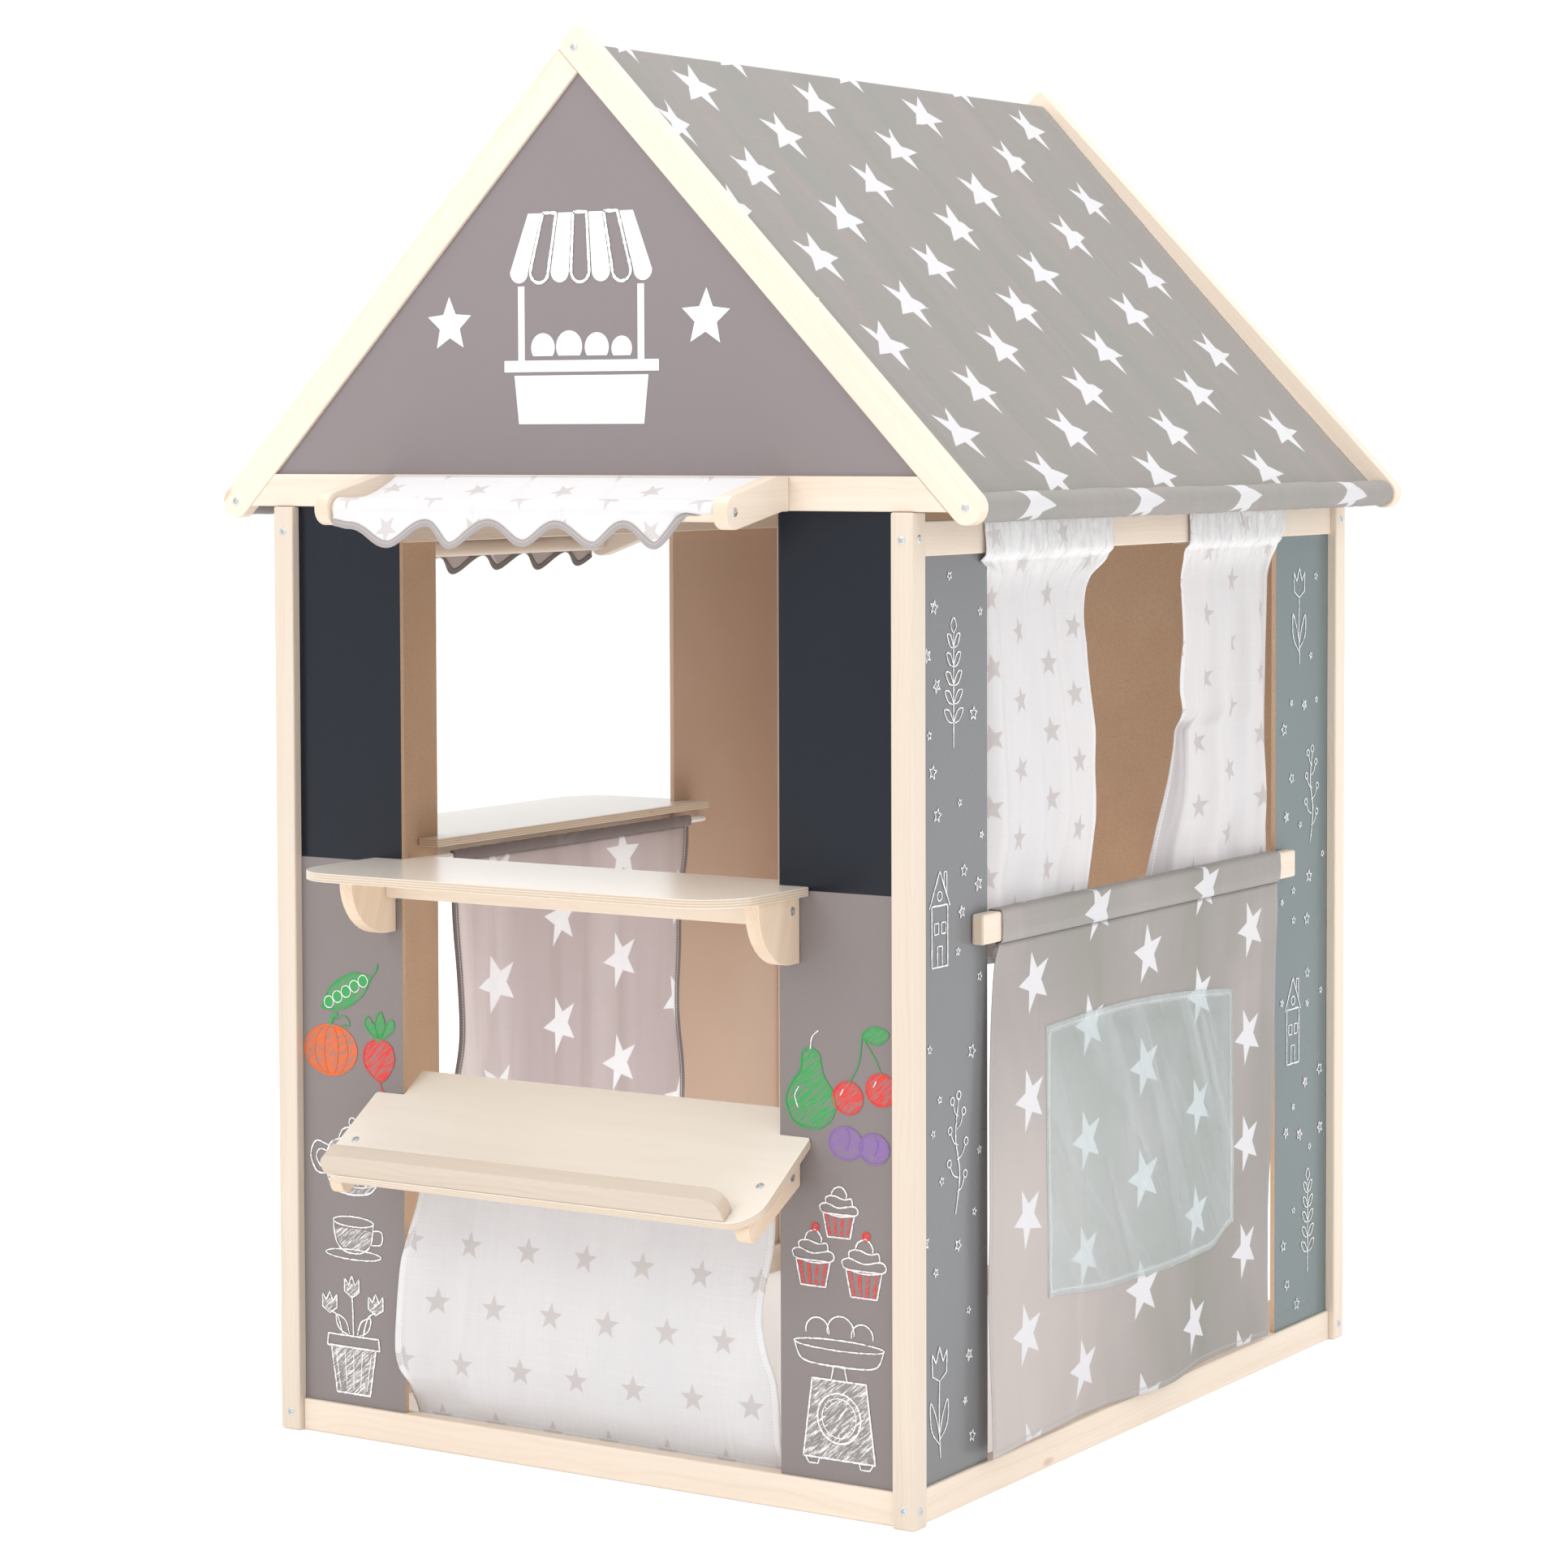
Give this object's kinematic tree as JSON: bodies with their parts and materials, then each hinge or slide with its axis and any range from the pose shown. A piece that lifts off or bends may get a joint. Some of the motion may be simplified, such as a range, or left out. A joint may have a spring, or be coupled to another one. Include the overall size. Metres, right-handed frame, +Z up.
{
  "type": "play shop stand",
  "caption": "Children's play shop stand: gabled wooden frame with panels, fabric roof, awning, counter, tilted display shelf, side counter, curtains and a doorway with a fabric flap.",
  "frame": {"origin": "bottom centre of the whole outline, on the floor; the middle of the four posts is at x 0.03825, y 0.0785", "axes": "+Z up, front with the counter towards -Y, doorway side towards +X"},
  "size_m": [1.1134, 1.267, 1.6424],
  "materials": {
    "softwood": "satin clear lacquer",
    "plywood": "sanded birch plywood, satin",
    "board_grey": "painted thin fibreboard, semi-gloss, brown inside",
    "board_blue_grey": "painted thin fibreboard, semi-gloss, brown inside",
    "board_brown": "bare fibreboard inside, painted grey outside",
    "cloth_grey": "grey cotton with white stars",
    "cloth_white": "white cotton voile with pale grey stars",
    "pocket_film": "thin see-through film pocket",
    "wire_white": "white coated rod"
  },
  "bodies": {
    "stall": {"post_front_left": "softwood", "post_front_right": "softwood", "post_rear_left": "softwood", "post_rear_right": "softwood", "rail_front": "softwood", "rail_back": "softwood", "rail_door_side": "softwood", "rail_left_side": "softwood", "top_rail_door_side": "softwood", "top_rail_left_side": "softwood", "gable_base_front": "softwood", "gable_base_rear": "softwood", "rafter_front_left": "softwood", "rafter_front_right": "softwood", "rafter_rear_left": "softwood", "rafter_rear_right": "softwood", "ridge_pole": "softwood", "eave_dowel_left": "softwood", "eave_dowel_right": "softwood", "counter_bracket_left": "softwood", "counter_bracket_right": "softwood", "counter_apron": "softwood", "display_batten_left": "softwood", "display_batten_right": "softwood", "display_apron": "softwood", "display_lip": "softwood", "side_bracket_front": "softwood", "side_bracket_rear": "softwood", "side_apron": "softwood", "awning_arm_left": "softwood", "awning_arm_right": "softwood", "awning_dowel": "softwood", "side_awning_arm_front": "softwood", "side_awning_arm_rear": "softwood", "side_awning_dowel": "softwood", "door_bar": "softwood", "counter_shelf": "plywood", "display_shelf": "plywood", "side_shelf": "plywood", "panel_front_left": "board_grey", "panel_front_right": "board_grey", "gable_board_front": "board_grey", "panel_door_front": "board_blue_grey", "panel_door_rear": "board_blue_grey", "panel_back": "board_brown", "panel_side_front": "board_brown", "panel_side_rear": "board_brown", "gable_board_rear": "board_brown", "roof_cloth": "cloth_grey", "side_awning_cloth": "cloth_grey", "door_sleeve": "cloth_grey", "awning_cloth": "cloth_white", "front_curtain_rod": "wire_white", "side_curtain_rod": "wire_white"},
    "side_curtain_hanging": {"side_curtain": "cloth_grey"},
    "front_curtain_hanging": {"front_curtain": "cloth_white"},
    "door_curtain_a": {"door_curtain_front": "cloth_white"},
    "door_curtain_b": {"door_curtain_rear": "cloth_white"},
    "flap": {"door_flap": "cloth_grey", "door_pocket": "pocket_film"}
  },
  "joints": [
    {"name": "front_curtain_swing", "type": "hinge", "parent": "stall", "child": "front_curtain_hanging", "pos_m": [0.03825, -0.4405, 0.392], "axis": [1, 0, 0], "range_deg": [0, 60]},
    {"name": "side_curtain_swing", "type": "hinge", "parent": "stall", "child": "side_curtain_hanging", "pos_m": [-0.36625, 0.0785, 0.66], "axis": [0, -1, 0], "range_deg": [0, 55]},
    {"name": "door_curtain_a_slide", "type": "slide", "parent": "stall", "child": "door_curtain_a", "axis": [0, 1, 0], "range_m": [0, 0.08]},
    {"name": "door_curtain_b_slide", "type": "slide", "parent": "stall", "child": "door_curtain_b", "axis": [0, -1, 0], "range_m": [0, 0.08]},
    {"name": "flap_swing", "type": "hinge", "parent": "stall", "child": "flap", "pos_m": [0.47205, 0.0785, 0.6115], "axis": [0, -1, 0], "range_deg": [0, 85]}
  ]
}
